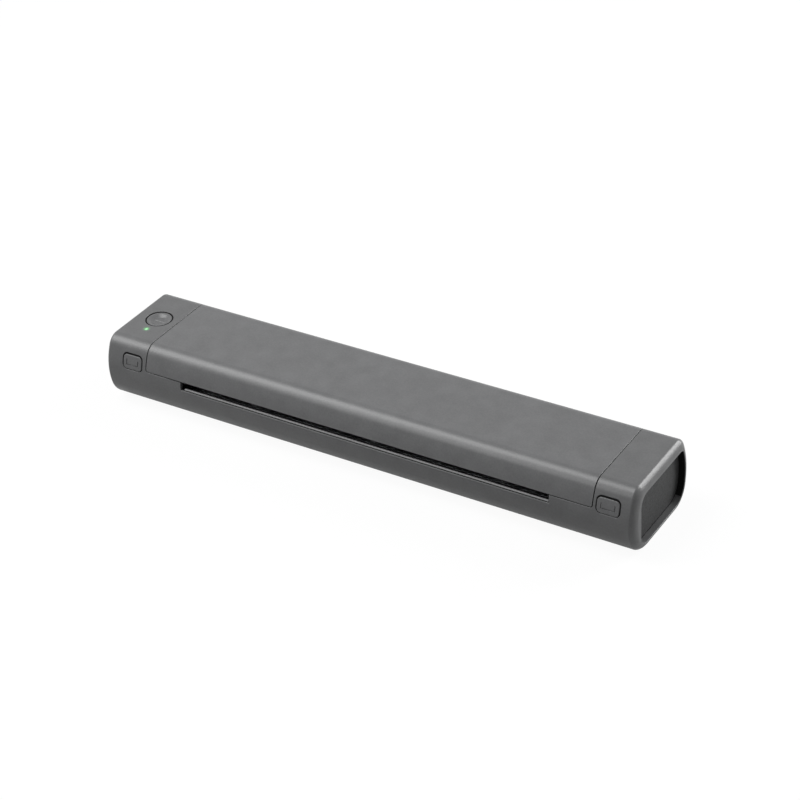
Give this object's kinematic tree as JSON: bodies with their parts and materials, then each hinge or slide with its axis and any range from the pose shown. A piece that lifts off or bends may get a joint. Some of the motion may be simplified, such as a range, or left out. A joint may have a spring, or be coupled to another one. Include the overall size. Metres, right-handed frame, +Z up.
{
  "type": "portable thermal printer",
  "caption": "Slim bar-shaped portable printer for letter-size thermal paper, with a front paper slot, a rear-hinged top cover that carries the roller, end release buttons and a power button.",
  "frame": {"origin": "centre of the body's outline on the ground plane, at the underside of the feet", "axes": "+X to the right along the length, seen from the paper slot side; +Y to the rear, where the cover is hinged; +Z up"},
  "size_m": [0.31, 0.059, 0.0385],
  "materials": {
    "housing_plastic": "satin dark grey moulded plastic",
    "cover_plastic": "satin dark grey moulded plastic",
    "end_plastic": "fine-grained dark moulded plastic",
    "inner_plastic": "black moulded plastic",
    "button_plastic": "satin grey moulded plastic",
    "nylon": "natural nylon",
    "brass": "machined brass",
    "steel_sheet": "zinc-plated sheet steel",
    "steel_pin": "ground steel",
    "aluminium": "extruded aluminium",
    "ceramic": "glazed ceramic",
    "roller_rubber": "ground black rubber",
    "foot_rubber": "soft black rubber",
    "tear_metal": "dark plated steel edge",
    "board_green": "solder-masked glass epoxy board",
    "chip_black": "moulded black packages",
    "cell_wrap": "blue shrink film",
    "ribbon": "white flat cable",
    "light_pipe": "clear green light pipe"
  },
  "bodies": {
    "base": {"main_housing": "housing_plastic", "bottom_cover": "housing_plastic", "bottom_screws": "steel_pin", "rubber_feet": "foot_rubber", "left_end_panel": "end_plastic", "right_end_panel": "end_plastic", "tear_bar": "tear_metal", "lower_paper_guide": "inner_plastic", "left_chassis_plate": "steel_sheet", "right_chassis_plate": "steel_sheet", "chassis_frame": "steel_sheet", "head_pivot_pin": "steel_pin", "head_springs": "steel_pin", "stepper_motor": "steel_sheet", "motor_screws": "steel_pin", "compound_gear_axle": "steel_pin", "battery_cells": "cell_wrap", "battery_cradle": "inner_plastic", "main_board": "board_green", "main_board_chips": "chip_black", "head_ribbon_cable": "ribbon", "io_board": "board_green", "usb_c_socket": "steel_sheet", "power_switch": "chip_black", "status_light": "light_pipe", "status_light_pipe": "light_pipe", "paper_sensor": "chip_black", "cover_switch": "chip_black", "power_button_spring": "steel_pin", "left_latch_spring": "steel_pin", "right_latch_spring": "steel_pin", "hinge_pins": "steel_pin"},
    "cover": {"cover_shell": "cover_plastic", "cover_liner": "inner_plastic", "platen_bushes": "nylon"},
    "platen": {"platen_roller": "roller_rubber", "platen_shaft": "steel_pin", "platen_gear": "nylon"},
    "print_head": {"print_head_heat_sink": "aluminium", "print_head_ceramic": "ceramic"},
    "drive_gear": {"compound_gear": "nylon"},
    "motor_rotor": {"motor_shaft": "steel_pin", "motor_pinion": "brass"},
    "power_key": {"power_button": "button_plastic"},
    "left_release": {"left_release_button": "button_plastic", "left_latch_slider": "nylon"},
    "right_release": {"right_release_button": "button_plastic", "right_latch_slider": "nylon"}
  },
  "joints": [
    {"name": "cover_hinge", "type": "hinge", "parent": "base", "child": "cover", "pos_m": [0, 0.024, 0.021], "axis": [-1, 0, 0], "range_deg": [0, 90]},
    {"name": "platen_spin", "type": "hinge", "parent": "cover", "child": "platen", "pos_m": [0, -0.013, 0.02965], "axis": [1, 0, 0], "continuous": true},
    {"name": "drive_gear_spin", "type": "hinge", "parent": "base", "child": "drive_gear", "pos_m": [-0.117, -0.013, 0.01915], "axis": [1, 0, 0], "continuous": true},
    {"name": "motor_spin", "type": "hinge", "parent": "base", "child": "motor_rotor", "pos_m": [-0.117, -0.00651, 0.01155], "axis": [1, 0, 0], "continuous": true},
    {"name": "head_rock", "type": "hinge", "parent": "base", "child": "print_head", "pos_m": [0, -0.002, 0.02093], "axis": [1, 0, 0], "range_deg": [0, 2], "stiffness_Nm_per_rad": 0.4, "springref_deg": -5.73, "deforming": ["head_springs"]},
    {"name": "power_press", "type": "slide", "parent": "base", "child": "power_key", "axis": [0, 0, -1], "range_m": [0, 0.0006], "stiffness_N_per_m": 150, "springref_m": -0.004, "deforming": ["power_button_spring"]},
    {"name": "left_release_press", "type": "slide", "parent": "base", "child": "left_release", "axis": [0, 1, 0], "range_m": [0, 0.0018], "stiffness_N_per_m": 150, "springref_m": -0.004, "deforming": ["left_latch_spring"]},
    {"name": "right_release_press", "type": "slide", "parent": "base", "child": "right_release", "axis": [0, 1, 0], "range_m": [0, 0.0018], "stiffness_N_per_m": 150, "springref_m": -0.004, "deforming": ["right_latch_spring"]}
  ],
  "couplings": [
    {"joint": "drive_gear_spin", "follows": "platen_spin", "ratio": -1.1429},
    {"joint": "motor_spin", "follows": "platen_spin", "ratio": 3.4286}
  ]
}
